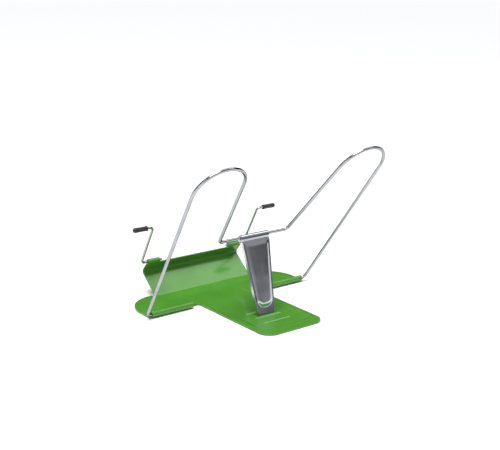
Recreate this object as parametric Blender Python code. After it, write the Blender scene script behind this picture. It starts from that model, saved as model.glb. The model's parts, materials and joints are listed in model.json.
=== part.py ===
"""Folding book display stand: a pressed steel base, a bent wire back frame in two rolled
hinge barrels, a stamped prop leg on the frame's crossbar and two page arms on the front lip.

Metres, +Z up.  The reader sits at -Y, the hinge axis lies over y = 0 and the table is z = 0.
"""

from math import acos, atan2, cos, pi, radians, sin, sqrt, tan

import bmesh
import bpy
from mathutils import Matrix, Vector

MM = 0.001

# Sheet steel, wire and the clearances between pieces.
SHEET = 0.8 * MM
WIRE_DIAMETER = 2.8 * MM
HINGE_GAP = 0.3 * MM
TOUCH_GAP = 0.3 * MM
SIDE_GAP = 0.7 * MM
BARREL_WRAP = radians(300)

# Base plate.
WING_HALF_WIDTH = 83.4 * MM
WING_DEPTH = 43.0 * MM
WING_CORNER = 28.0 * MM
WING_REAR_CORNER = 2.0 * MM
TONGUE_HALF_WIDTH = 31.4 * MM
TONGUE_LENGTH = 89.0 * MM
TONGUE_CORNER = 11.0 * MM
RELIEF = 3.0 * MM
RIM_HEIGHT = 1.6 * MM
BORDER = 6.0 * MM
DISH_DEPTH = 0.6 * MM
DISH_FRONT_MARGIN = 8.0 * MM
DISH_REAR_MARGIN = 4.0 * MM
BARREL_INNER = 40.0 * MM

# Channel along the middle of the base, with stop ribs for the prop leg's foot.
CHANNEL_FRONT = 27.0 * MM
CHANNEL_REAR_MARGIN = 11.0 * MM
CHANNEL_CORNER = 5.0 * MM
RIB_HEIGHT = 1.3 * MM
RIB_WIDTH = 2.6 * MM
RIB_HALF_LENGTH = 15.0 * MM
RIB_PITCH = 12.0 * MM
RIBS_BEFORE = 1
RIBS_BEHIND = 1

# Front ledge and its lip.
LEDGE_HALF_WIDTH = 52.0 * MM
LEDGE_SETBACK = 5.0 * MM
LEDGE_RELIEF = 1.5 * MM
LEDGE_DEPTH = 27.0 * MM
LEDGE_SLOPE = radians(40)
LIP_HEIGHT = 11.0 * MM
BEND_RADIUS = 3.0 * MM

# Back frame, measured in its own plane from the hinge axis.
FRAME_ANGLE = radians(56.5)
LOOP_TOP = 165.5 * MM
LOOP_OUTER = 98.4 * MM
LOOP_INNER = 52.3 * MM
BAR_HEIGHT = 68.3 * MM
BAR_HALF_WIDTH = 36.0 * MM
BAR_FORWARD = 8.2 * MM
WIRE_BEND = 4.0 * MM
PIN_LENGTH = 30.0 * MM

# Prop leg.
LEG_TOP_HALF_WIDTH = 14.5 * MM
LEG_FOOT_HALF_WIDTH = 8.6 * MM
LEG_FOOT_CORNER = 2.0 * MM
LEG_FLANGE = 2.8 * MM
LEG_FLANGE_START = 5.0 * MM
LEG_FLANGE_END_GAP = 3.0 * MM
LEG_PANEL_MARGIN = 1.8 * MM
LEG_PANEL_RISE = 1.2 * MM
LEG_PANEL_TOP = 5.5 * MM
LEG_PANEL_FOOT = 7.0 * MM
LEG_PANEL_CORNER = 2.5 * MM
FOOT_REACH = 50.0 * MM

# Page arms, one at each end of the lip.
ARM_WIRE_DIAMETER = 2.2 * MM
ARM_BARREL_WIDTH = 12.0 * MM
ARM_BARREL_MARGIN = 2.0 * MM
ARM_OUTREACH = 6.5 * MM
ARM_STUB = 2.5 * MM
ARM_LENGTH = 42.0 * MM
ARM_TIP_REACH = 19.0 * MM
ARM_BEND = 3.5 * MM
ARM_LEAN = radians(62)
TIP_WALL = 0.9 * MM
TIP_OVERHANG = 1.2 * MM
TIP_LENGTH = 14.0 * MM

ARC_STEPS = 10
LEDGE_BEND_STEPS = 4
LIP_BEND_STEPS = 6
BARREL_STEPS = 20
TIP_STEPS = 16
WIRE_RESOLUTION = 3
SMOOTH_ANGLE = radians(35)

WIRE_RADIUS = WIRE_DIAMETER / 2
BORE = WIRE_RADIUS + HINGE_GAP
ARM_WIRE_RADIUS = ARM_WIRE_DIAMETER / 2
ARM_BORE = ARM_WIRE_RADIUS + HINGE_GAP
TIP_RADIUS = ARM_WIRE_RADIUS + HINGE_GAP + TIP_WALL
HINGE_Z = RIM_HEIGHT + BORE
HINGE_HALF_SPAN = WING_HALF_WIDTH + SIDE_GAP + WIRE_RADIUS
LEDGE_LINE = WING_DEPTH - LEDGE_SETBACK
ARM_BARREL_OUTER = LEDGE_HALF_WIDTH - ARM_BARREL_MARGIN
ARM_BARREL_INNER = ARM_BARREL_OUTER - ARM_BARREL_WIDTH
EDGE_TOLERANCE = 0.001 * MM


def clear_scene():
    for obj in list(bpy.data.objects):
        bpy.data.objects.remove(obj, do_unlink=True)


def make_material(name, colour, metallic, roughness):
    made = bpy.data.materials.new(name)
    made.use_nodes = True
    shader = made.node_tree.nodes["Principled BSDF"]
    shader.inputs["Base Color"].default_value = (*colour, 1)
    shader.inputs["Metallic"].default_value = metallic
    shader.inputs["Roughness"].default_value = roughness
    return made


def add_object(name, data):
    obj = bpy.data.objects.new(name, data)
    bpy.context.scene.collection.objects.link(obj)
    return obj


def mesh_object(name, bm):
    mesh = bpy.data.meshes.new(name)
    bm.to_mesh(mesh)
    bm.free()
    return add_object(name, mesh)


def finish(obj, surface):
    obj.data.materials.append(surface)
    if obj.type == "MESH":
        obj.data.shade_smooth()
        obj.data.set_sharp_from_angle(angle=SMOOTH_ANGLE)


def rounded_path(corners, radii):
    """Points along straight runs whose inner corners are turned with the given radii."""
    corners = [Vector(corner) for corner in corners]
    points = [corners[0]]
    for before, corner, after, radius in zip(corners, corners[1:], corners[2:], radii):
        back = (before - corner).normalized()
        ahead = (after - corner).normalized()
        half = acos(back.dot(ahead)) / 2
        centre = corner + (back + ahead).normalized() * radius / sin(half)
        spoke = corner + back * radius / tan(half) - centre
        axis = ahead.cross(back).normalized()
        for step in range(ARC_STEPS + 1):
            turn = Matrix.Rotation((pi - 2 * half) * step / ARC_STEPS, 3, axis)
            points.append(centre + turn @ spoke)
    return points + [corners[-1]]


def rounded_outline(corners):
    """Closed outline through (x, y, radius) corners; a radius of 0 leaves the corner sharp."""
    places = [Vector((x, y, 0)) for x, y, _ in corners]
    outline = []
    for index, (_, _, radius) in enumerate(corners):
        three = [places[index - 1], places[index], places[(index + 1) % len(places)]]
        outline += rounded_path(three, [radius])[1:-1] if radius else [three[1]]
    return outline


def mirrored(right_side):
    """The right side's corners followed by their mirror images, back to the start."""
    return right_side + [(-x, y, radius) for x, y, radius in reversed(right_side)]


def grown(outline, distance):
    """An outline running counterclockwise, moved outwards by a distance."""
    result = []
    for index, point in enumerate(outline):
        run = outline[(index + 1) % len(outline)] - outline[index - 1]
        result.append(point + Vector((run.y, -run.x, 0)).normalized() * distance)
    return result


def outline_face(bm, outline, height):
    return bm.faces.new([bm.verts.new((point.x, point.y, height)) for point in outline])


def prism(name, outline, low, high):
    bm = bmesh.new()
    face = outline_face(bm, outline, low)
    lifted = bmesh.ops.extrude_face_region(bm, geom=[face])["geom"]
    bmesh.ops.translate(bm, verts=verts_of(lifted), vec=(0, 0, high - low))
    bmesh.ops.recalc_face_normals(bm, faces=bm.faces)
    return mesh_object(name, bm)


def verts_of(geometry):
    return [item for item in geometry if isinstance(item, bmesh.types.BMVert)]


def edges_of(geometry):
    return [item for item in geometry if isinstance(item, bmesh.types.BMEdge)]


def middle(edge):
    """An edge's middle as (distance from x = 0, y, z)."""
    point = (edge.verts[0].co + edge.verts[1].co) / 2
    return abs(point.x), point.y, point.z


def boundary(bm, test):
    """Boundary edges whose middle passes the test."""
    return [edge for edge in bm.edges if edge.is_boundary and test(*middle(edge))]


def push(bm, edges, step):
    """Extrudes a row of edges by one straight step and gives the new row."""
    geometry = bmesh.ops.extrude_edge_only(bm, edges=edges)["geom"]
    bmesh.ops.translate(bm, verts=verts_of(geometry), vec=step)
    moved = set(verts_of(geometry))
    return [edge for edge in edges_of(geometry) if edge.is_boundary and moved.issuperset(edge.verts)]


def roll(bm, edges, centre, angle, steps):
    """Turns a row of edges about an axis along X and gives the new row."""
    made = bmesh.ops.spin(bm, geom=edges, cent=centre, axis=(1, 0, 0), angle=angle, steps=steps)
    return edges_of(made["geom_last"])


def thicken(obj):
    """Sheet thickness on the side away from the modelled face."""
    solid = obj.modifiers.new("sheet", "SOLIDIFY")
    solid.thickness = SHEET
    solid.offset = -1
    solid.use_even_offset = True
    solid.use_quality_normals = True


def combine(obj, other, operation):
    other.hide_render = True
    other.display_type = "WIRE"
    other.parent = obj
    modifier = obj.modifiers.new(other.name, "BOOLEAN")
    modifier.operation = operation
    modifier.solver = "EXACT"
    modifier.use_self = True
    modifier.object = other


def press(obj, name, outline, face, rise):
    """Presses a panel of a sheet in or out; face is the height of the sheet's outer face."""
    root = face - SHEET / 2
    if rise < 0:
        pan = prism(name + "_pan", grown(outline, SHEET), face + rise - SHEET, root)
        hollow = prism(name + "_hollow", outline, face + rise, face + SHEET)
    else:
        pan = prism(name + "_pan", outline, root, face + rise)
        hollow = prism(name + "_hollow", grown(outline, -SHEET), face - 2 * SHEET, face + rise - SHEET)
    combine(obj, pan, "UNION")
    combine(obj, hollow, "DIFFERENCE")


def base_outline():
    return rounded_outline(mirrored([
        (ARM_BARREL_INNER, -LEDGE_LINE, 0),
        (ARM_BARREL_OUTER, -LEDGE_LINE, 0),
        (LEDGE_HALF_WIDTH, -LEDGE_LINE, 0),
        (LEDGE_HALF_WIDTH, -LEDGE_LINE + LEDGE_RELIEF, 0),
        (LEDGE_HALF_WIDTH + LEDGE_RELIEF, -LEDGE_LINE + LEDGE_RELIEF, 0),
        (LEDGE_HALF_WIDTH + LEDGE_RELIEF, -WING_DEPTH, 0),
        (WING_HALF_WIDTH, -WING_DEPTH, WING_CORNER),
        (WING_HALF_WIDTH, 0, WING_REAR_CORNER),
        (BARREL_INNER, 0, 0),
        (BARREL_INNER, -RELIEF, 0),
        (TONGUE_HALF_WIDTH, -RELIEF, RELIEF),
        (TONGUE_HALF_WIDTH, TONGUE_LENGTH, TONGUE_CORNER),
    ]))


def lip_corners():
    """Ledge foot, ledge end and lip top on the inner face, as (y, z) vectors."""
    foot = Vector((-LEDGE_LINE - BEND_RADIUS * tan(LEDGE_SLOPE / 2), RIM_HEIGHT))
    end = foot + Vector((-cos(LEDGE_SLOPE), sin(LEDGE_SLOPE))) * LEDGE_DEPTH
    top = end + Vector((sin(LEDGE_SLOPE), cos(LEDGE_SLOPE))) * LIP_HEIGHT
    return foot, end, top


def arm_axis():
    """Axis of the page arms as (y, z), in barrels rolled forwards from the lip's top edge."""
    away = Vector((-cos(LEDGE_SLOPE), sin(LEDGE_SLOPE)))
    return lip_corners()[2] + away * (ARM_BORE + SHEET)


def add_ledge(bm):
    """Bends the front edge up into the ledge, then square to it into the lip."""
    foot, end, top = lip_corners()
    along = (end - foot).normalized()
    upwards = (top - end).normalized()
    straight = LEDGE_DEPTH - BEND_RADIUS * tan(LEDGE_SLOPE / 2) - BEND_RADIUS
    row = boundary(bm, lambda x, y, z: x < LEDGE_HALF_WIDTH and abs(y + LEDGE_LINE) < EDGE_TOLERANCE)
    row = roll(bm, row, (0, -LEDGE_LINE, RIM_HEIGHT + BEND_RADIUS), -LEDGE_SLOPE, LEDGE_BEND_STEPS)
    row = push(bm, row, (0, *(along * straight)))
    row = roll(bm, row, (0, *(end + (upwards - along) * BEND_RADIUS)), -pi / 2, LIP_BEND_STEPS)
    row = push(bm, row, (0, *(upwards * (LIP_HEIGHT - BEND_RADIUS))))
    ends = [edge for edge in row if ARM_BARREL_INNER < middle(edge)[0] < ARM_BARREL_OUTER]
    roll(bm, ends, (0, *arm_axis()), BARREL_WRAP, BARREL_STEPS)


def add_barrels(bm):
    """Rolls the rear edges of both wings up round the hinge axis."""
    row = boundary(bm, lambda x, y, z: x > BARREL_INNER and abs(y) < EDGE_TOLERANCE)
    roll(bm, row, (0, 0, HINGE_Z), BARREL_WRAP, BARREL_STEPS)


def add_rim(bm):
    """Turns the free edges of the wings and the tongue down to the table."""
    ledge_side = LEDGE_HALF_WIDTH + LEDGE_RELIEF + EDGE_TOLERANCE
    ledge_rear = LEDGE_RELIEF - LEDGE_LINE + EDGE_TOLERANCE

    def is_rim(x, y, z):
        at_ledge = x < ledge_side and y < ledge_rear
        at_barrel = x > BARREL_INNER - EDGE_TOLERANCE and y > EDGE_TOLERANCE - RELIEF
        return abs(z - RIM_HEIGHT) < EDGE_TOLERANCE and not at_ledge and not at_barrel

    push(bm, boundary(bm, is_rim), (0, 0, -RIM_HEIGHT))


def dish_outline():
    side = WING_HALF_WIDTH - BORDER
    return rounded_outline(mirrored([
        (side, DISH_FRONT_MARGIN - LEDGE_LINE, WING_CORNER - BORDER),
        (side, -DISH_REAR_MARGIN, WING_REAR_CORNER),
    ]))


def channel_outline():
    side = TONGUE_HALF_WIDTH - BORDER
    return rounded_outline(mirrored([
        (side, -CHANNEL_FRONT, CHANNEL_CORNER),
        (side, TONGUE_LENGTH - CHANNEL_REAR_MARGIN, CHANNEL_CORNER),
    ]))


def foot_place():
    """Bar centre, foot corner, leg length and leg angle in the plane across the hinge."""
    along = Vector((cos(FRAME_ANGLE), sin(FRAME_ANGLE)))
    forward = Vector((-sin(FRAME_ANGLE), cos(FRAME_ANGLE)))
    bar = Vector((0, HINGE_Z)) + along * BAR_HEIGHT + forward * BAR_FORWARD
    foot = Vector((FOOT_REACH, SHEET + TOUCH_GAP))
    run = foot - bar
    length = sqrt(run.length_squared - BORE**2)
    return bar, length, atan2(run.y, run.x) - atan2(BORE, length)


def rib_face():
    """Front face of the rib that the foot rests against."""
    _, _, angle = foot_place()
    return FOOT_REACH - sin(angle) * SHEET + TOUCH_GAP


def build_ribs():
    """Stop ribs, upright towards the leg and sloping away behind it."""
    bm = bmesh.new()
    for step in range(-RIBS_BEFORE, RIBS_BEHIND + 1):
        front = rib_face() + step * RIB_PITCH
        low = SHEET / 2
        section = [(front, low), (front + RIB_WIDTH, low), (front, SHEET + RIB_HEIGHT)]
        face = bm.faces.new([bm.verts.new((-RIB_HALF_LENGTH, y, z)) for y, z in section])
        lifted = bmesh.ops.extrude_face_region(bm, geom=[face])["geom"]
        bmesh.ops.translate(bm, verts=verts_of(lifted), vec=(2 * RIB_HALF_LENGTH, 0, 0))
    bmesh.ops.recalc_face_normals(bm, faces=bm.faces)
    return mesh_object("ribs", bm)


def build_base(surface):
    bm = bmesh.new()
    outline_face(bm, base_outline(), RIM_HEIGHT)
    add_ledge(bm)
    add_barrels(bm)
    add_rim(bm)
    base = mesh_object("base_plate", bm)
    thicken(base)
    press(base, "dish", dish_outline(), RIM_HEIGHT, -DISH_DEPTH)
    press(base, "channel", channel_outline(), RIM_HEIGHT, SHEET - RIM_HEIGHT)
    combine(base, build_ribs(), "UNION")
    finish(base, surface)


def wire(name, points, diameter, surface):
    curve = bpy.data.curves.new(name, "CURVE")
    curve.dimensions = "3D"
    curve.bevel_depth = diameter / 2
    curve.bevel_resolution = WIRE_RESOLUTION
    curve.use_fill_caps = True
    spline = curve.splines.new("POLY")
    spline.points.add(len(points) - 1)
    for place, point in zip(spline.points, points):
        place.co = (*point, 1)
    obj = add_object(name, curve)
    finish(obj, surface)
    return obj


def loop_radius(corners):
    """Radius that turns the two top corners of a loop into one continuous round end."""
    start, outer, inner, end = [Vector(corner) for corner in corners]
    turns = [(outer - start).angle(inner - outer), (inner - outer).angle(end - inner)]
    return (inner - outer).length / sum(tan(turn / 2) for turn in turns)


def frame_points():
    """The back frame from pin to pin, with the hinge axis along X through the origin."""
    side = [
        (HINGE_HALF_SPAN - PIN_LENGTH, 0, 0),
        (HINGE_HALF_SPAN, 0, 0),
        (LOOP_OUTER, LOOP_TOP, 0),
        (LOOP_INNER, LOOP_TOP, 0),
        (BAR_HALF_WIDTH, BAR_HEIGHT, BAR_FORWARD),
    ]
    round_end = loop_radius(side[1:])
    radii = [WIRE_BEND, round_end, round_end, WIRE_BEND]
    mirror = [(-x, y, z) for x, y, z in reversed(side)]
    return rounded_path(side + mirror, radii + radii[::-1])


def build_frame(surface):
    frame = wire("back_frame", frame_points(), WIRE_DIAMETER, surface)
    frame.location = (0, 0, HINGE_Z)
    frame.rotation_euler = (FRAME_ANGLE, 0, 0)


def leg_half_width(length, place):
    return LEG_TOP_HALF_WIDTH + (LEG_FOOT_HALF_WIDTH - LEG_TOP_HALF_WIDTH) * place / length


def build_leg(surface):
    """The prop leg: y runs down the leg from the bar's axis, z out of its outer face."""
    bar, length, angle = foot_place()
    face = BORE + SHEET
    flange_end = length - LEG_FLANGE_END_GAP
    bm = bmesh.new()
    outline = rounded_outline(mirrored([
        (LEG_TOP_HALF_WIDTH, 0, 0),
        (leg_half_width(length, LEG_FLANGE_START), LEG_FLANGE_START, 0),
        (leg_half_width(length, flange_end), flange_end, 0),
        (LEG_FOOT_HALF_WIDTH, length, LEG_FOOT_CORNER),
    ]))
    outline_face(bm, outline, face)
    top = boundary(bm, lambda x, y, z: y < EDGE_TOLERANCE)
    roll(bm, top, (0, 0, 0), BARREL_WRAP, BARREL_STEPS)
    push(bm, boundary(bm, lambda x, y, z: LEG_FLANGE_START < y < flange_end), (0, 0, -LEG_FLANGE))
    bmesh.ops.recalc_face_normals(bm, faces=bm.faces)
    leg = mesh_object("prop_leg", bm)
    thicken(leg)
    low = length - LEG_PANEL_FOOT
    press(leg, "leg_panel", rounded_outline(mirrored([
        (leg_half_width(length, LEG_PANEL_TOP) - LEG_PANEL_MARGIN, LEG_PANEL_TOP, LEG_PANEL_CORNER),
        (leg_half_width(length, low) - LEG_PANEL_MARGIN, low, LEG_PANEL_CORNER),
    ])), face, LEG_PANEL_RISE)
    finish(leg, surface)
    leg.location = (0, *bar)
    leg.rotation_euler = (angle, 0, 0)


def build_tip(name, start, side, surface):
    """A vinyl cap with a blind bore, pushed over the bent end of a page arm."""
    bore = ARM_WIRE_RADIUS + HINGE_GAP
    end = start + TIP_LENGTH
    stop = end - TIP_OVERHANG + TOUCH_GAP
    round_over = TIP_WALL / 2
    profile = [
        (stop, 0),
        (stop, bore),
        (start, bore),
        (start, TIP_RADIUS - round_over),
        (start + round_over, TIP_RADIUS),
        (end - round_over, TIP_RADIUS),
        (end, TIP_RADIUS - round_over),
        (end, 0),
    ]
    bm = bmesh.new()
    verts = [bm.verts.new((side * x, ARM_LENGTH, radius)) for x, radius in profile]
    edges = [bm.edges.new(pair) for pair in zip(verts, verts[1:])]
    centre = (0, ARM_LENGTH, 0)
    turn = dict(cent=centre, axis=(1, 0, 0), angle=2 * pi, steps=TIP_STEPS, use_merge=True)
    bmesh.ops.spin(bm, geom=verts + edges, **turn)
    bmesh.ops.remove_doubles(bm, verts=bm.verts, dist=EDGE_TOLERANCE)
    bmesh.ops.recalc_face_normals(bm, faces=bm.faces)
    tip = mesh_object(name, bm)
    finish(tip, surface)
    return tip


def build_arm(hand, side, steel, vinyl):
    """A page arm leaning back where it holds a page; y runs along the arm from its axis."""
    elbow = ARM_BARREL_OUTER + ARM_OUTREACH
    points = rounded_path([
        (side * (ARM_BARREL_INNER - ARM_STUB), 0, 0),
        (side * elbow, 0, 0),
        (side * elbow, ARM_LENGTH, 0),
        (side * (elbow + ARM_TIP_REACH), ARM_LENGTH, 0),
    ], [ARM_BEND, ARM_BEND])
    hub = bpy.data.objects.new("page_arm_axis_" + hand, None)
    bpy.context.scene.collection.objects.link(hub)
    hub.location = (0, *arm_axis())
    hub.rotation_euler = (ARM_LEAN, 0, 0)
    arm = wire("page_arm_" + hand, points, ARM_WIRE_DIAMETER, steel)
    start = elbow + ARM_TIP_REACH + TIP_OVERHANG - TIP_LENGTH
    tip = build_tip("page_tip_" + hand, start, side, vinyl)
    for piece in (arm, tip):
        piece.parent = hub


def main():
    clear_scene()
    paint = make_material("green_paint", (0.085, 0.30, 0.035), 0.0, 0.25)
    chrome = make_material("chrome_wire", (0.74, 0.75, 0.77), 1.0, 0.12)
    plate = make_material("chrome_leg", (0.62, 0.63, 0.66), 1.0, 0.2)
    vinyl = make_material("vinyl", (0.03, 0.03, 0.032), 0.0, 0.45)
    build_base(paint)
    build_frame(chrome)
    build_leg(plate)
    build_arm("right", 1, chrome, vinyl)
    build_arm("left", -1, chrome, vinyl)


main()
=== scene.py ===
import json
from math import acos, asin, atan2, cos, pi, radians, sin, sqrt, tan

import bmesh
import bpy
from mathutils import Matrix, Vector, kdtree


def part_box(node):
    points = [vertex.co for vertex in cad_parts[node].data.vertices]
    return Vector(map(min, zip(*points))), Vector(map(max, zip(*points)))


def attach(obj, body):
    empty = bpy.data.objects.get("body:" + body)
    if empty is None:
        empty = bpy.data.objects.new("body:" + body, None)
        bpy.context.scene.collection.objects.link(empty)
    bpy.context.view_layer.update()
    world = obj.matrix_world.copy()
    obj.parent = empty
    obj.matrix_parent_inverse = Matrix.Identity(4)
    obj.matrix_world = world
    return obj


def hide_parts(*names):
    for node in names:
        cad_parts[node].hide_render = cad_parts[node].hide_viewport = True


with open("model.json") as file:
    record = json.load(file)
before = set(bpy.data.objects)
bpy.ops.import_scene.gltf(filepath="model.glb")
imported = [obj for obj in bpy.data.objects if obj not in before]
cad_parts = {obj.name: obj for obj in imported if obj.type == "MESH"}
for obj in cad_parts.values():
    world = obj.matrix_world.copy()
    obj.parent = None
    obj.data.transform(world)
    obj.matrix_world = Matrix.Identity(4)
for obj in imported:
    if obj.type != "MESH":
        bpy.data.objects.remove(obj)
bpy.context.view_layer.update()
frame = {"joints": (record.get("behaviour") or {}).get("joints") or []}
print("frame loaded")

mm = 0.001
nearlyZero = 0.001 * mm
hinges = {joint["name"]: Vector(joint["pos_m"]) for joint in frame["joints"]}
sheet = {
    "thickness": 0.8 * mm,
    "wrap": radians(300),       # how far a barrel is rolled round its wire
    "wrapSteps": 36,
    "touchGap": 0.3 * mm,
    "foldRadius": 1.1 * mm,
    "cutEdge": 0.16 * mm,       # softened edge where the sheet was sheared
    "cutAngle": radians(62),
    "wearReach": 0.9 * mm,      # how far wear spreads from a sheared edge
}


def roundedPath(corners, radii, stepLength=0.6 * mm, leastSteps=8):
    corners = [Vector(corner) for corner in corners]
    points = [corners[0]]
    for before, corner, after, radius in zip(corners, corners[1:], corners[2:], radii):
        back = (before - corner).normalized()
        ahead = (after - corner).normalized()
        half = acos(back.dot(ahead)) / 2
        centre = corner + (back + ahead).normalized() * radius / sin(half)
        spoke = corner + back * radius / tan(half) - centre
        axis = ahead.cross(back).normalized()
        turn = pi - 2 * half
        steps = max(leastSteps, round(turn * radius / stepLength))
        for step in range(steps + 1):
            points.append(centre + Matrix.Rotation(turn * step / steps, 3, axis) @ spoke)
    return points + [corners[-1]]


def roundedOutline(corners, stepLength=1.2 * mm):
    places = [Vector((x, y, 0)) for x, y, radius in corners]
    outline = []
    for index, (x, y, radius) in enumerate(corners):
        three = [places[index - 1], places[index], places[(index + 1) % len(places)]]
        outline += roundedPath(three, [radius], stepLength, 6)[1:-1] if radius else [three[1]]
    return outline


def bothSides(rightSide):
    return rightSide + [(-x, y, radius) for x, y, radius in reversed(rightSide)]


def smoothStep(low, high, value):
    share = min(max((value - low) / (high - low), 0), 1)
    return share * share * (3 - 2 * share)


def roundedDistance(first, second, radius):
    # from the distances past two straight sides to the distance past their rounded corner
    first, second = first + radius, second + radius
    return Vector((max(first, 0), max(second, 0))).length + min(max(first, second), 0) - radius


def spread(low, high, pitch):
    count = max(1, round((high - low) / pitch))
    return [low + (high - low) * step / count for step in range(count + 1)]


def vertsOf(geometry):
    return [item for item in geometry if isinstance(item, bmesh.types.BMVert)]


def edgesOf(geometry):
    return [item for item in geometry if isinstance(item, bmesh.types.BMEdge)]


def freeEdges(bm, test):
    # free edges whose middle passes the test on (distance from x = 0, y, z)
    found = []
    for edge in bm.edges:
        middle = (edge.verts[0].co + edge.verts[1].co) / 2
        if edge.is_boundary and test(abs(middle.x), middle.y, middle.z):
            found.append(edge)
    return found


def pushEdges(bm, edges, step):
    made = bmesh.ops.extrude_edge_only(bm, edges=edges)["geom"]
    moved = set(vertsOf(made))
    bmesh.ops.translate(bm, verts=list(moved), vec=step)
    return [edge for edge in edgesOf(made) if edge.is_boundary and moved.issuperset(edge.verts)]


def rollEdges(bm, edges, centre, angle, steps):
    made = bmesh.ops.spin(bm, geom=edges, cent=centre, axis=(1, 0, 0), angle=angle, steps=steps)
    return edgesOf(made["geom_last"])


def foldEdges(bm, edges, offset, segments=5):
    bmesh.ops.bevel(
        bm, geom=edges, offset=offset, segments=segments, profile=0.5,
        affect="EDGES", material=-1, clamp_overlap=True,
    )


def sliceFlat(bm, height, columns, rows):
    # cuts the flat face at this height into a fine grid that pressed shapes can be raised from
    flat = [face for face in bm.faces if all(abs(vert.co.z - height) < nearlyZero for vert in face.verts)]
    region = flat + list({item for face in flat for item in [*face.edges, *face.verts]})
    for direction, places in ((Vector((1, 0, 0)), columns), (Vector((0, 1, 0)), rows)):
        for place in places:
            cut = bmesh.ops.bisect_plane(
                bm, geom=region, dist=nearlyZero, plane_co=direction * place, plane_no=direction,
            )
            region = cut["geom"]
    return vertsOf(region)


def cutNearEnds(bm, height, ends):
    # above the flat face, points close to the free ends keep the wear at those ends
    raised = [face for face in bm.faces if face.calc_center_median().z > height + nearlyZero]
    region = raised + list({item for face in raised for item in [*face.edges, *face.verts]})
    for place in ends + [-end for end in ends]:
        cut = bmesh.ops.bisect_plane(
            bm, geom=region, dist=nearlyZero, plane_co=(place, 0, 0), plane_no=(1, 0, 0),
        )
        region = cut["geom"]


def addObject(name, mesh):
    made = bpy.data.objects.new(name, mesh)
    bpy.context.scene.collection.objects.link(made)
    return made


def sharpPoints(bm, pitch=0.5 * mm):
    # places along every sheared edge, where the finish wears
    points = []
    for edge in bm.edges:
        if edge.is_boundary:
            start, end = edge.verts[0].co, edge.verts[1].co
            steps = max(1, round((end - start).length / pitch))
            points += [start.lerp(end, step / steps) for step in range(steps + 1)]
    return points


def markEdges(bm, points, reach):
    # stores how near each point is to a worn edge, from 0 to 1
    tree = kdtree.KDTree(len(points))
    for index, point in enumerate(points):
        tree.insert(point, index)
    tree.balance()
    layer = bm.verts.layers.float.new("edgeNearness")
    for vert in bm.verts:
        vert[layer] = 1 - min(tree.find(vert.co)[2] / reach, 1)


def sheetObject(name, bm, worn, place=None):
    # one skin of sheet steel gets its thickness, and its sheared edges are softened
    markEdges(bm, worn, sheet["wearReach"])
    mesh = bpy.data.meshes.new(name)
    bm.to_mesh(mesh)
    bm.free()
    if place:
        mesh.transform(place)
    mesh.shade_smooth()
    made = addObject(name, mesh)
    solid = made.modifiers.new("thickness", "SOLIDIFY")
    solid.thickness = sheet["thickness"]
    solid.offset = -1
    solid.use_even_offset = True
    solid.use_quality_normals = True
    soft = made.modifiers.new("sheared edge", "BEVEL")
    soft.width = sheet["cutEdge"]
    soft.segments = 2
    soft.limit_method = "ANGLE"
    soft.angle_limit = sheet["cutAngle"]
    normals = made.modifiers.new("flat normals", "WEIGHTED_NORMAL")
    normals.keep_sharp = True
    return made


basePlate = {
    "rimHeight": hinges["frame_tilt"].z - 1.7 * mm,
    "halfWidth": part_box("base_plate")[1].x,
    "wingDepth": 43 * mm,
    "wingCorner": 28 * mm,
    "wingRearCorner": 2 * mm,
    "tongueHalfWidth": 31.4 * mm,
    "tongueLength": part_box("base_plate")[1].y,
    "tongueCorner": 11 * mm,
    "relief": 3 * mm,
    "border": 6 * mm,
    "barrelInner": 40 * mm,
    "dish": {"depth": 0.6 * mm, "front": 30 * mm, "rear": 4 * mm, "slope": 2.6 * mm, "split": 0.3},
    "channel": {"front": 27 * mm, "rearMargin": 11 * mm, "corner": 5 * mm, "slope": 4.4 * mm},
    "rib": {
        "height": 0.85 * mm, "width": 2.6 * mm, "halfLength": 15 * mm, "pitch": 12 * mm,
        "steep": 0.28, "crest": 0.3, "foot": 1.25,      # places across the rib, as shares of its width
    },
    "ledge": {
        "halfWidth": 52 * mm, "setback": 5 * mm, "relief": 1.5 * mm, "depth": 26.98 * mm,
        "slope": radians(40), "lip": 11 * mm, "bend": 3 * mm,
    },
    "armBarrel": {"width": 12 * mm, "margin": 2 * mm},
    "pitch": {"wide": 6 * mm, "plain": 4 * mm, "pressed": 0.6 * mm, "slope": 0.5 * mm, "rib": 0.25 * mm},
}
ledge = basePlate["ledge"]
ledgeLine = basePlate["wingDepth"] - ledge["setback"]
armBarrelOuter = ledge["halfWidth"] - basePlate["armBarrel"]["margin"]
armBarrelInner = armBarrelOuter - basePlate["armBarrel"]["width"]

propLeg = {
    "footReach": 50 * mm,
    "topHalfWidth": 14.5 * mm,
    "footHalfWidth": 8.6 * mm,
    "footCorner": 2 * mm,
    "flange": 2.8 * mm,
    "flangeStart": 5 * mm,
    "flangeEndGap": 3 * mm,
    "bore": 1.7 * mm,
    "panel": {
        "margin": 1.8 * mm, "rise": 1.3 * mm, "top": 5.5 * mm, "foot": 7 * mm, "corner": 2.5 * mm,
        "footRound": 6 * mm, "shoulder": 3.4 * mm, "crown": 0.6 * mm,
    },
    "crease": {"depth": 0.8 * mm, "start": 1.5 * mm, "deepest": 2.7 * mm, "end": 5.6 * mm},
    "foldRadius": 1.8 * mm,
    "pitch": {"fine": 0.35 * mm, "plain": 0.7 * mm},
}


def legLine():
    # length and angle of the leg between the crossbar and the channel floor
    bar = hinges["leg_swing"]
    run = Vector((propLeg["footReach"], sheet["thickness"] + sheet["touchGap"])) - bar.yz
    length = sqrt(run.length_squared - propLeg["bore"] ** 2)
    return length, atan2(run.y, run.x) - atan2(propLeg["bore"], length)


legLength, legAngle = legLine()
ribFront = propLeg["footReach"] - sin(legAngle) * sheet["thickness"] + sheet["touchGap"]


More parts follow.
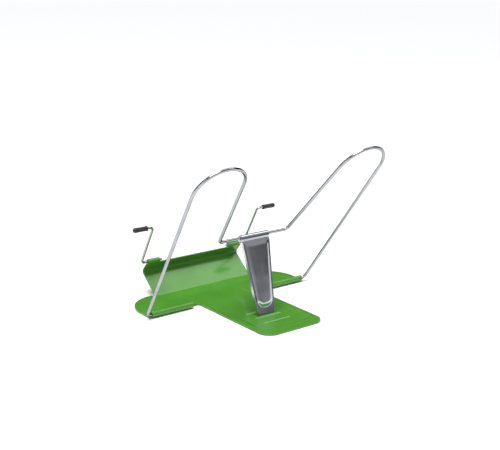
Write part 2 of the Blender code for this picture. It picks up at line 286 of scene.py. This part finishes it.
def pressedDepth(x, y):
    # how far the flat top is pressed down at this place
    dish, channel, rib = basePlate["dish"], basePlate["channel"], basePlate["rib"]
    side = abs(x) - (basePlate["halfWidth"] - basePlate["border"])
    if y < -dish["split"] * basePlate["wingDepth"]:
        outside = roundedDistance(side, -y - dish["front"], basePlate["wingCorner"] - basePlate["border"])
    else:
        outside = roundedDistance(side, y + dish["rear"], basePlate["wingRearCorner"])
    dishDepth = dish["depth"] * smoothStep(dish["slope"] / 2, -dish["slope"] / 2, outside)
    side = abs(x) - (basePlate["tongueHalfWidth"] - basePlate["border"])
    end = max(-y - channel["front"], y - basePlate["tongueLength"] + channel["rearMargin"])
    outside = roundedDistance(side, end, channel["corner"])
    deepest = basePlate["rimHeight"] - sheet["thickness"]
    slope = channel["slope"]
    depth = max(dishDepth, deepest * smoothStep(slope / 2, -slope / 2, outside))
    ends = smoothStep(rib["halfLength"], rib["halfLength"] - rib["width"], abs(x))
    for step in (-1, 0, 1):
        behind = (y - ribFront - step * rib["pitch"]) / rib["width"]
        raised = rib["height"] * ends * smoothStep(0, rib["steep"], behind)
        depth -= raised * smoothStep(rib["foot"], rib["crest"], behind)
    return depth


def lipCorners():
    foot = Vector((-ledgeLine - ledge["bend"] * tan(ledge["slope"] / 2), basePlate["rimHeight"]))
    end = foot + Vector((-cos(ledge["slope"]), sin(ledge["slope"]))) * ledge["depth"]
    return foot, end, end + Vector((sin(ledge["slope"]), cos(ledge["slope"]))) * ledge["lip"]


def addLedge(bm):
    foot, end, top = lipCorners()
    bend = ledge["bend"]
    along, upwards = (end - foot).normalized(), (top - end).normalized()
    row = freeEdges(bm, lambda x, y, z: x < ledge["halfWidth"] and abs(y + ledgeLine) < nearlyZero)
    row = rollEdges(bm, row, (0, -ledgeLine, basePlate["rimHeight"] + bend), -ledge["slope"], 10)
    row = pushEdges(bm, row, (0, *(along * (ledge["depth"] - bend * tan(ledge["slope"] / 2) - bend))))
    row = rollEdges(bm, row, (0, *(end + (upwards - along) * bend)), -pi / 2, 14)
    row = pushEdges(bm, row, (0, *(upwards * (ledge["lip"] - bend))))
    ends = []
    for edge in row:
        middle = abs(edge.verts[0].co.x + edge.verts[1].co.x) / 2
        if armBarrelInner < middle < armBarrelOuter:
            ends.append(edge)
    rollEdges(bm, ends, hinges["page_arm_right_swing"], sheet["wrap"], sheet["wrapSteps"])


def buildBasePlate():
    base = basePlate
    wing, depth, tongue = base["halfWidth"], base["wingDepth"], base["tongueHalfWidth"]
    notch = ledge["halfWidth"] + ledge["relief"]
    outline = roundedOutline(bothSides([
        (armBarrelInner, -ledgeLine, 0),
        (armBarrelOuter, -ledgeLine, 0),
        (ledge["halfWidth"], -ledgeLine, 0),
        (ledge["halfWidth"], -ledgeLine + ledge["relief"], 0),
        (notch, -ledgeLine + ledge["relief"], 0),
        (notch, -depth, 0),
        (wing, -depth, base["wingCorner"]),
        (wing, 0, base["wingRearCorner"]),
        (base["barrelInner"], 0, 0),
        (base["barrelInner"], -base["relief"], 0),
        (tongue, -base["relief"], base["relief"]),
        (tongue, base["tongueLength"], base["tongueCorner"]),
    ]))
    rim = base["rimHeight"]
    bm = bmesh.new()
    bm.faces.new([bm.verts.new((point.x, point.y, rim)) for point in outline])
    addLedge(bm)
    row = freeEdges(bm, lambda x, y, z: x > base["barrelInner"] and abs(y) < nearlyZero)
    rollEdges(bm, row, hinges["frame_tilt"], sheet["wrap"], sheet["wrapSteps"])

    def isRim(x, y, z):
        atLedge = x < notch + nearlyZero and y < ledge["relief"] - ledgeLine + nearlyZero
        atBarrel = x > base["barrelInner"] - nearlyZero and y > nearlyZero - base["relief"]
        return abs(z - rim) < nearlyZero and not atLedge and not atBarrel

    row = freeEdges(bm, isRim)
    pushEdges(bm, row, (0, 0, -rim))
    foldEdges(bm, row, sheet["foldRadius"])
    worn = sharpPoints(bm)
    # columns and rows are close together where something is pressed
    pitch, dish, channel, rib = base["pitch"], base["dish"], base["channel"], base["rib"]
    dishSide, channelSide = wing - base["border"], tongue - base["border"]
    ribSide, wideSide = rib["halfLength"], base["barrelInner"] - 4 * mm
    columns = spread(1 * mm, ribSide - 3 * mm, pitch["plain"])
    columns += spread(ribSide - 3 * mm, ribSide + 0.2 * mm, pitch["slope"]) + [ribSide + 4 * mm]
    columns += spread(channelSide - 3.5 * mm, channelSide + 3 * mm, pitch["slope"])
    columns += spread(wideSide, armBarrelOuter, pitch["wide"])
    columns += spread(dishSide - base["wingCorner"] + base["border"], dishSide + 2 * mm, pitch["pressed"])
    columns = [-place for place in columns] + columns
    rows = spread(-dish["front"] - 2 * mm, -dish["rear"] + 2 * mm, pitch["pressed"])
    rows += spread(2 * mm, ribFront - rib["pitch"] - 1 * mm, pitch["plain"])
    for step in (-1, 0, 1):
        start = ribFront + step * rib["pitch"]
        rows += spread(start - 0.2 * mm, start + 3.6 * mm, pitch["rib"]) + [start + 7 * mm]
    end = base["tongueLength"] - channel["rearMargin"]
    rows += spread(end - channel["corner"], end + 3 * mm, pitch["slope"])
    for vert in sliceFlat(bm, rim, columns, rows):
        vert.co.z -= pressedDepth(vert.co.x, vert.co.y)
    inset = 1 * mm
    cutNearEnds(bm, rim, [
        base["barrelInner"] + inset, wing - inset, ledge["halfWidth"] - inset,
        armBarrelInner + inset, armBarrelOuter - inset,
    ])
    bmesh.ops.recalc_face_normals(bm, faces=bm.faces)
    bm.normal_update()
    if max(bm.faces, key=lambda face: face.calc_area()).normal.z < 0:
        bmesh.ops.reverse_faces(bm, faces=bm.faces)
    return sheetObject("pressedBase", bm, worn)


pressedBase = buildBasePlate()
print("base plate built:", len(pressedBase.data.polygons), "faces")


wireFrame = {
    "radius": 1.4 * mm,
    "lean": radians(56.5),
    "halfSpan": 85.5 * mm,
    "pin": 30 * mm,
    "loopTop": 165.45 * mm,
    "loopOuter": 98.3 * mm,
    "loopInner": 52.3 * mm,
    "barHalfWidth": 36 * mm,
    "bend": 4 * mm,
}
wireEnd = {"cornerAngle": radians(70), "softness": 0.2 * mm}    # the cut ends are slightly rounded


def wireObject(name, points, radius, place):
    curve = bpy.data.curves.new(name, "CURVE")
    curve.dimensions = "3D"
    curve.bevel_depth = radius
    curve.bevel_resolution = 6
    curve.use_fill_caps = True
    spline = curve.splines.new("POLY")
    spline.points.add(len(points) - 1)
    for spot, point in zip(spline.points, points):
        spot.co = (*point, 1)
    rough = addObject(name + "Route", curve)
    mesh = bpy.data.meshes.new_from_object(rough.evaluated_get(bpy.context.evaluated_depsgraph_get()))
    bpy.data.objects.remove(rough)
    bm = bmesh.new()
    bm.from_mesh(mesh)
    bmesh.ops.remove_doubles(bm, verts=bm.verts, dist=nearlyZero)
    bmesh.ops.recalc_face_normals(bm, faces=bm.faces)
    rims = [edge for edge in bm.edges if edge.calc_face_angle(0) > wireEnd["cornerAngle"]]
    foldEdges(bm, rims, wireEnd["softness"], 3)
    bm.to_mesh(mesh)
    bm.free()
    mesh.materials.clear()
    mesh.transform(place)
    mesh.shade_smooth()
    mesh.name = name
    return addObject(name, mesh)


def buildWireFrame():
    wire = wireFrame
    along = Vector((cos(wire["lean"]), sin(wire["lean"])))
    forward = Vector((-along.y, along.x))
    bar = (hinges["leg_swing"] - hinges["frame_tilt"]).yz
    side = [
        (wire["halfSpan"] - wire["pin"], 0, 0),
        (wire["halfSpan"], 0, 0),
        (wire["loopOuter"], wire["loopTop"], 0),
        (wire["loopInner"], wire["loopTop"], 0),
        (wire["barHalfWidth"], bar.dot(along), bar.dot(forward)),
    ]
    start, outer, inner, end = [Vector(corner) for corner in side[1:]]
    turns = [(outer - start).angle(inner - outer), (inner - outer).angle(end - inner)]
    roundEnd = (inner - outer).length / sum(tan(turn / 2) for turn in turns)
    radii = [wire["bend"], roundEnd, roundEnd, wire["bend"]]
    mirror = [(-x, y, z) for x, y, z in reversed(side)]
    points = roundedPath(side + mirror, radii + radii[::-1], 0.7 * mm, 10)
    place = Matrix.Translation(hinges["frame_tilt"]) @ Matrix.Rotation(wire["lean"], 4, "X")
    return wireObject("wireBack", points, wire["radius"], place)


wireBack = buildWireFrame()
print("wire frame built")

pageArm = {
    "radius": 1.1 * mm,
    "outreach": 6.5 * mm,
    "stub": 2.5 * mm,
    "length": 42 * mm,
    "tipReach": 19 * mm,
    "bend": 3.5 * mm,
}
vinylTip = {"length": 14 * mm, "overhang": 1.2 * mm, "wall": 0.9 * mm, "gap": 0.3 * mm, "steps": 40}


def armPlace():
    axis = hinges["page_arm_right_swing"]
    low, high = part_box("page_tip_right")
    angle = asin(((low.z + high.z) / 2 - axis.z) / pageArm["length"])
    return Matrix.Translation((0, axis.y, axis.z)) @ Matrix.Rotation(angle, 4, "X")


def buildArm(hand, side):
    arm = pageArm
    elbow = armBarrelOuter + arm["outreach"]
    points = roundedPath([
        (side * (armBarrelInner - arm["stub"]), 0, 0),
        (side * elbow, 0, 0),
        (side * elbow, arm["length"], 0),
        (side * (elbow + arm["tipReach"]), arm["length"], 0),
    ], [arm["bend"], arm["bend"]], 0.5 * mm, 10)
    return wireObject("pageArm" + hand, points, arm["radius"], armPlace())


def buildTip(hand, side):
    # a dipped vinyl cap: a soft round end, a faint waist and a rolled mouth
    tip = vinylTip
    outer = pageArm["radius"] + tip["gap"] + tip["wall"]
    soft, shoulder = 0.5 * mm, outer - 0.1 * mm    # the mouth's rounding and the round end's radius
    bore = pageArm["radius"] + 0.02 * mm
    end = armBarrelOuter + pageArm["outreach"] + pageArm["tipReach"] + tip["overhang"]
    start = end - tip["length"]
    inner = end - tip["overhang"] + 0.1 * mm
    profile = [(inner, 0), (inner, bore), (start, bore), (start, outer - soft)]
    for angle in spread(0.4, pi / 2, 0.3):
        profile.append((start + soft * (1 - cos(angle)), outer - soft * (1 - sin(angle))))
    profile += [
        (start + 2.2 * mm, outer - 0.28 * mm),
        (end - 5 * mm, outer - 0.22 * mm),
        (end - 2.2 * mm, shoulder),
    ]
    for angle in spread(0.15, 1.45, 0.16):
        profile.append((end - 2 * mm * (1 - sin(angle)), shoulder * cos(angle)))
    profile.append((end, 0))
    bm = bmesh.new()
    verts = [bm.verts.new((side * x, pageArm["length"], radius)) for x, radius in profile]
    edges = [bm.edges.new(pair) for pair in zip(verts, verts[1:])]
    bmesh.ops.spin(
        bm, geom=verts + edges, cent=(0, pageArm["length"], 0), axis=(1, 0, 0),
        angle=2 * pi, steps=tip["steps"], use_merge=True,
    )
    bmesh.ops.remove_doubles(bm, verts=bm.verts, dist=nearlyZero)
    bmesh.ops.recalc_face_normals(bm, faces=bm.faces)
    mesh = bpy.data.meshes.new("pageTip" + hand)
    bm.to_mesh(mesh)
    bm.free()
    mesh.transform(armPlace())
    mesh.shade_smooth()
    mesh.set_sharp_from_angle(angle=radians(50))
    return addObject("pageTip" + hand, mesh)


arms = {hand: buildArm(hand, side) for hand, side in (("Right", 1), ("Left", -1))}
tips = {hand: buildTip(hand, side) for hand, side in (("Right", 1), ("Left", -1))}
print("page arms built")


# the leg is modelled flat: y runs down it from the crossbar and z out of its outer face
def legHalfWidth(place):
    return propLeg["topHalfWidth"] + (propLeg["footHalfWidth"] - propLeg["topHalfWidth"]) * place / legLength


def panelRise(x, y):
    panel = propLeg["panel"]
    side = abs(x) - (legHalfWidth(y) - panel["margin"])
    if y < legLength / 2:
        outside = roundedDistance(side, panel["top"] - y, panel["corner"])
    else:
        outside = roundedDistance(side, y - legLength + panel["foot"], panel["footRound"])
    raised = 1 - min(max(1 + outside / panel["shoulder"], 0), 1) ** 3    # steep outer edge, soft shoulder
    # the raised field is slightly crowned both ways
    crown = cos(pi * (y / legLength - 0.5)) * (1 - (x / legHalfWidth(y)) ** 2)
    return raised * (panel["rise"] - panel["crown"] + panel["crown"] * crown)


def creaseDepth(y):
    # the sheet dips just below the sleeve and comes back up to the panel
    crease = propLeg["crease"]
    down = smoothStep(crease["start"], crease["deepest"], y)
    return crease["depth"] * down * smoothStep(crease["end"], crease["deepest"], y)


def buildLeg():
    leg = propLeg
    face = leg["bore"] + sheet["thickness"]
    flangeEnd = legLength - leg["flangeEndGap"]
    outline = roundedOutline(bothSides([
        (leg["topHalfWidth"], 0, 0),
        (legHalfWidth(leg["flangeStart"]), leg["flangeStart"], 0),
        (legHalfWidth(flangeEnd), flangeEnd, 0),
        (leg["footHalfWidth"], legLength, leg["footCorner"]),
    ]))
    bm = bmesh.new()
    bm.faces.new([bm.verts.new((point.x, point.y, face)) for point in outline])
    rollEdges(bm, freeEdges(bm, lambda x, y, z: y < nearlyZero), (0, 0, 0), sheet["wrap"], sheet["wrapSteps"])
    row = freeEdges(bm, lambda x, y, z: leg["flangeStart"] < y < flangeEnd)
    pushEdges(bm, row, (0, 0, -leg["flange"]))
    foldEdges(bm, row, leg["foldRadius"], 8)
    worn = sharpPoints(bm)
    panel, pitch = leg["panel"], leg["pitch"]
    columns = spread(0.3 * mm, leg["topHalfWidth"] - 1.6 * mm, pitch["fine"])
    rows = spread(leg["crease"]["start"] - 0.2 * mm, panel["top"] - 0.3 * mm, pitch["fine"])
    rows += spread(panel["top"], legLength - panel["foot"] + 1.2 * mm, pitch["plain"])
    for vert in sliceFlat(bm, face, [-place for place in columns] + columns, rows):
        vert.co.z += panelRise(vert.co.x, vert.co.y) - creaseDepth(vert.co.y)
    bmesh.ops.recalc_face_normals(bm, faces=bm.faces)
    bm.normal_update()
    if max(bm.faces, key=lambda item: item.calc_area()).normal.z < 0:
        bmesh.ops.reverse_faces(bm, faces=bm.faces)
    place = Matrix.Translation(hinges["leg_swing"]) @ Matrix.Rotation(legAngle, 4, "X")
    return sheetObject("stampedLeg", bm, worn, place)


stampedLeg = buildLeg()
print("prop leg built:", len(stampedLeg.data.polygons), "faces")


class Shade:
    # wraps a socket, so that shader sums read as plain expressions
    def __init__(self, tree, socket=None):
        self.tree = tree
        self.socket = socket

    def node(self, kind, settings, inputs, output=0):
        made = self.tree.nodes.new(kind)
        for name, value in settings.items():
            setattr(made, name, value)
        for name, value in inputs.items():
            if isinstance(value, Shade):
                self.tree.links.new(value.socket, made.inputs[name])
            else:
                made.inputs[name].default_value = value
        return Shade(self.tree, made.outputs[output])

    def maths(self, operation, *values):
        return self.node("ShaderNodeMath", {"operation": operation}, dict(enumerate(values)))

    def __add__(self, other):
        return self.maths("ADD", self, other)

    def __sub__(self, other):
        return self.maths("SUBTRACT", self, other)

    def __rsub__(self, other):
        return self.maths("SUBTRACT", other, self)

    def __mul__(self, other):
        return self.maths("MULTIPLY", self, other)

    __radd__ = __add__
    __rmul__ = __mul__


def startMaterial(name, colour, metallic, roughness, **constants):
    made = bpy.data.materials.new(name)
    made.use_nodes = True
    shader = made.node_tree.nodes["Principled BSDF"]
    shader.inputs["Base Color"].default_value = (*colour, 1)
    shader.inputs["Metallic"].default_value = metallic
    shader.inputs["Roughness"].default_value = roughness
    for socket, value in constants.items():
        shader.inputs[socket.replace("_", " ")].default_value = value
    place = Shade(made.node_tree).node("ShaderNodeTexCoord", {}, {}, 3)
    return made, shader, place


def noiseOf(place, scale, detail=2, roughness=0.5):
    inputs = {"Vector": place, "Scale": scale, "Detail": detail, "Roughness": roughness}
    return place.node("ShaderNodeTexNoise", {}, inputs)


def stepOf(value, low, high):
    inputs = {"Value": value, "From Min": low, "From Max": high}
    return value.node("ShaderNodeMapRange", {"interpolation_type": "SMOOTHSTEP"}, inputs)


def mixOf(mask, first, second):
    return mask.node("ShaderNodeMix", {"data_type": "RGBA"}, {0: mask, 6: first, 7: second}, 2)


def feed(shader, socket, value):
    value.tree.links.new(value.socket, shader.inputs[socket])


def bumpOf(height, strength, distance):
    return height.node("ShaderNodeBump", {}, {"Height": height, "Strength": strength, "Distance": distance})


greenEnamel = {
    "colour": (0.080, 0.275, 0.030, 1),
    "thick": (0.052, 0.205, 0.018, 1),
    "worn": (0.20, 0.36, 0.13, 1),
    "chip": (0.09, 0.085, 0.08, 1),
    "orangePeel": 260,
    "roughness": 0.11,
}


def makeEnamel():
    paint = greenEnamel
    made, shader, place = startMaterial("greenEnamel", paint["colour"][:3], 0, paint["roughness"], Coat_IOR=1.5)
    edge = place.node("ShaderNodeAttribute", {"attribute_name": "edgeNearness"}, {}, 2)
    patches = stepOf(noiseOf(place, 28, 3), 0.35, 0.7)
    scuffs = noiseOf(place, 700, 4, 0.65)
    worn = stepOf(edge + scuffs * 0.9, 1.40, 1.62)
    chipped = stepOf(edge + noiseOf(place, 1100, 2) * 0.8, 1.54, 1.58)
    colour = mixOf(patches * 0.5, paint["colour"], paint["thick"])
    colour = mixOf(worn * 0.45, colour, paint["worn"])
    feed(shader, "Base Color", mixOf(chipped, colour, paint["chip"]))
    dust = stepOf(noiseOf(place, 1900, 2), 0.66, 0.74)
    feed(shader, "Roughness", patches * 0.05 + worn * 0.22 + dust * 0.04 + paint["roughness"])
    height = noiseOf(place, paint["orangePeel"], 1) + noiseOf(place, 60, 1) * 1.6 - chipped * 0.6
    feed(shader, "Normal", bumpOf(height, 0.05, 0.0002))
    return made


platedWire = {"colour": (0.45, 0.455, 0.475), "dull": (0.35, 0.355, 0.375), "roughness": 0.08, "ripple": 130}
platedSheet = {"colour": (0.62, 0.63, 0.66), "dull": (0.47, 0.48, 0.51), "roughness": 0.19, "ripple": 70}
edgeTint = (0.35, 0.35, 0.36, 1)    # what the plating reflects at grazing angles


def makeChrome(name, colour, dull, roughness, ripple):
    made, shader, place = startMaterial(name, colour, 1, roughness, Specular_Tint=edgeTint)
    haze = stepOf(noiseOf(place, 55, 4, 0.6), 0.42, 0.72)
    specks = stepOf(noiseOf(place, 2600, 2), 0.67, 0.73)
    feed(shader, "Base Color", mixOf(haze * 0.55 + specks * 0.15, (*colour, 1), (*dull, 1)))
    feed(shader, "Roughness", haze * 0.07 + specks * 0.06 + roughness)
    feed(shader, "Normal", bumpOf(noiseOf(place, ripple, 1), 0.08, 0.0003))
    return made


def makeVinyl():
    made, shader, place = startMaterial("blackVinyl", (0.022, 0.022, 0.024), 0, 0.42)
    bloom = stepOf(noiseOf(place, 180, 4, 0.6), 0.4, 0.75)
    feed(shader, "Base Color", mixOf(bloom, (0.018, 0.018, 0.020, 1), (0.05, 0.05, 0.053, 1)))
    feed(shader, "Roughness", bloom * 0.2 + 0.36)
    feed(shader, "Normal", bumpOf(noiseOf(place, 600, 2), 0.2, 0.0002))
    return made


enamel = makeEnamel()
chromeWire = makeChrome("chromePlatedWire", **platedWire)
chromeSheet = makeChrome("chromePlatedSheet", **platedSheet)
vinyl = makeVinyl()

pieces = [
    (pressedBase, enamel, "base", "base_plate", "green_paint"),
    (wireBack, chromeWire, "frame", "back_frame", "chrome_wire"),
    (stampedLeg, chromeSheet, "leg", "prop_leg", "chrome_leg"),
    (arms["Right"], chromeWire, "arm_right", "page_arm_right", "chrome_wire"),
    (arms["Left"], chromeWire, "arm_left", "page_arm_left", "chrome_wire"),
    (tips["Right"], vinyl, "arm_right", "page_tip_right", "vinyl"),
    (tips["Left"], vinyl, "arm_left", "page_tip_left", "vinyl"),
]
for piece, material, body, node, slot in pieces:
    piece.data.materials.append(material)
    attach(piece, body)
    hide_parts(node)
print("materials and bodies set")


studio = {
    "target": Vector((-5.32, 19.0, 70.4)) * mm,
    "azimuth": radians(141.3),
    "elevation": radians(15.7),
    "roll": radians(1.1),
    "distance": 848.3 * mm,
    "lens": 72.5,
    "floorSize": 60,
    "floorGap": 0.05 * mm,
    "darkSide": (0.035, 0.036, 0.040, 1),
    "lightSide": (0.34, 0.35, 0.37, 1),
    "turnsLight": (0.37, 0.62),     # where the sky turns from dark to light, upwards and backwards
    "sun": {"place": (0.5, 0.3, 2.0), "strength": 3.1, "angle": radians(40)},
    "boxes": {      # place, watts, width and height of each soft box
        "overhead": ((-0.2, -0.3, 1.1), 3, 1.0, 0.7),
        "highBox": ((-0.85, 0.05, 1.15), 1.7, 0.6, 0.4),
        "sideStrip": ((1.15, 0.3, 0.5), 2.2, 0.4, 0.9),
    },
}


def makeFloor():
    bm = bmesh.new()
    bmesh.ops.create_grid(bm, x_segments=1, y_segments=1, size=studio["floorSize"] / 2)
    bmesh.ops.translate(bm, verts=bm.verts, vec=(0, 0, -studio["floorGap"]))
    mesh = bpy.data.meshes.new("paleFloor")
    bm.to_mesh(mesh)
    bm.free()
    floor = addObject("paleFloor", mesh)
    made = startMaterial("paleFloor", (0.95, 0.95, 0.95), 0, 0.6)[0]
    mesh.materials.append(made)


def makeLamp(name, kind, place, energy, **settings):
    lamp = bpy.data.lights.new(name, kind)
    lamp.energy = energy
    for setting, value in settings.items():
        setattr(lamp, setting, value)
    made = addObject(name, lamp)
    made.location = place
    made.rotation_euler = (studio["target"] - Vector(place)).to_track_quat("-Z", "Y").to_euler()


def makeCamera():
    azimuth, elevation, roll = studio["azimuth"], studio["elevation"], studio["roll"]
    back = Vector((sin(azimuth) * cos(elevation), -cos(azimuth) * cos(elevation), sin(elevation)))
    right = (-back).cross(Vector((0, 0, 1))).normalized()
    up = right.cross(-back)
    right, up = right * cos(roll) + up * sin(roll), up * cos(roll) - right * sin(roll)
    camera = bpy.data.cameras.new("studioCamera")
    camera.lens = studio["lens"]
    camera.sensor_width = 36
    camera.clip_start = 0.01
    camera.dof.use_dof = False
    made = addObject("studioCamera", camera)
    turn = Matrix((right, up, back)).transposed().to_4x4()
    made.matrix_world = Matrix.Translation(studio["target"] + back * studio["distance"]) @ turn
    bpy.context.scene.camera = made


def makeStudio():
    scene = bpy.context.scene
    scene.world = bpy.data.worlds.new("studioWorld")
    scene.world.use_nodes = True
    root = Shade(scene.world.node_tree)
    direction = root.node("ShaderNodeTexCoord", {}, {})
    height = root.node("ShaderNodeSeparateXYZ", {}, {"Vector": direction}, 2)
    behind = root.node("ShaderNodeSeparateXYZ", {}, {"Vector": direction}, 1)
    mask = stepOf(height * 0.8 + behind * 0.4, *studio["turnsLight"])
    light = mixOf(mask, studio["darkSide"], studio["lightSide"])
    feed(scene.world.node_tree.nodes["Background"], "Color", light)
    scene.view_settings.view_transform = "Standard"
    makeFloor()
    makeCamera()
    sun = studio["sun"]
    makeLamp("softSun", "SUN", sun["place"], sun["strength"], angle=sun["angle"])
    for name, (place, watts, width, height) in studio["boxes"].items():
        makeLamp(name, "AREA", place, watts, shape="RECTANGLE", size=width, size_y=height)


makeStudio()
print("studio set")
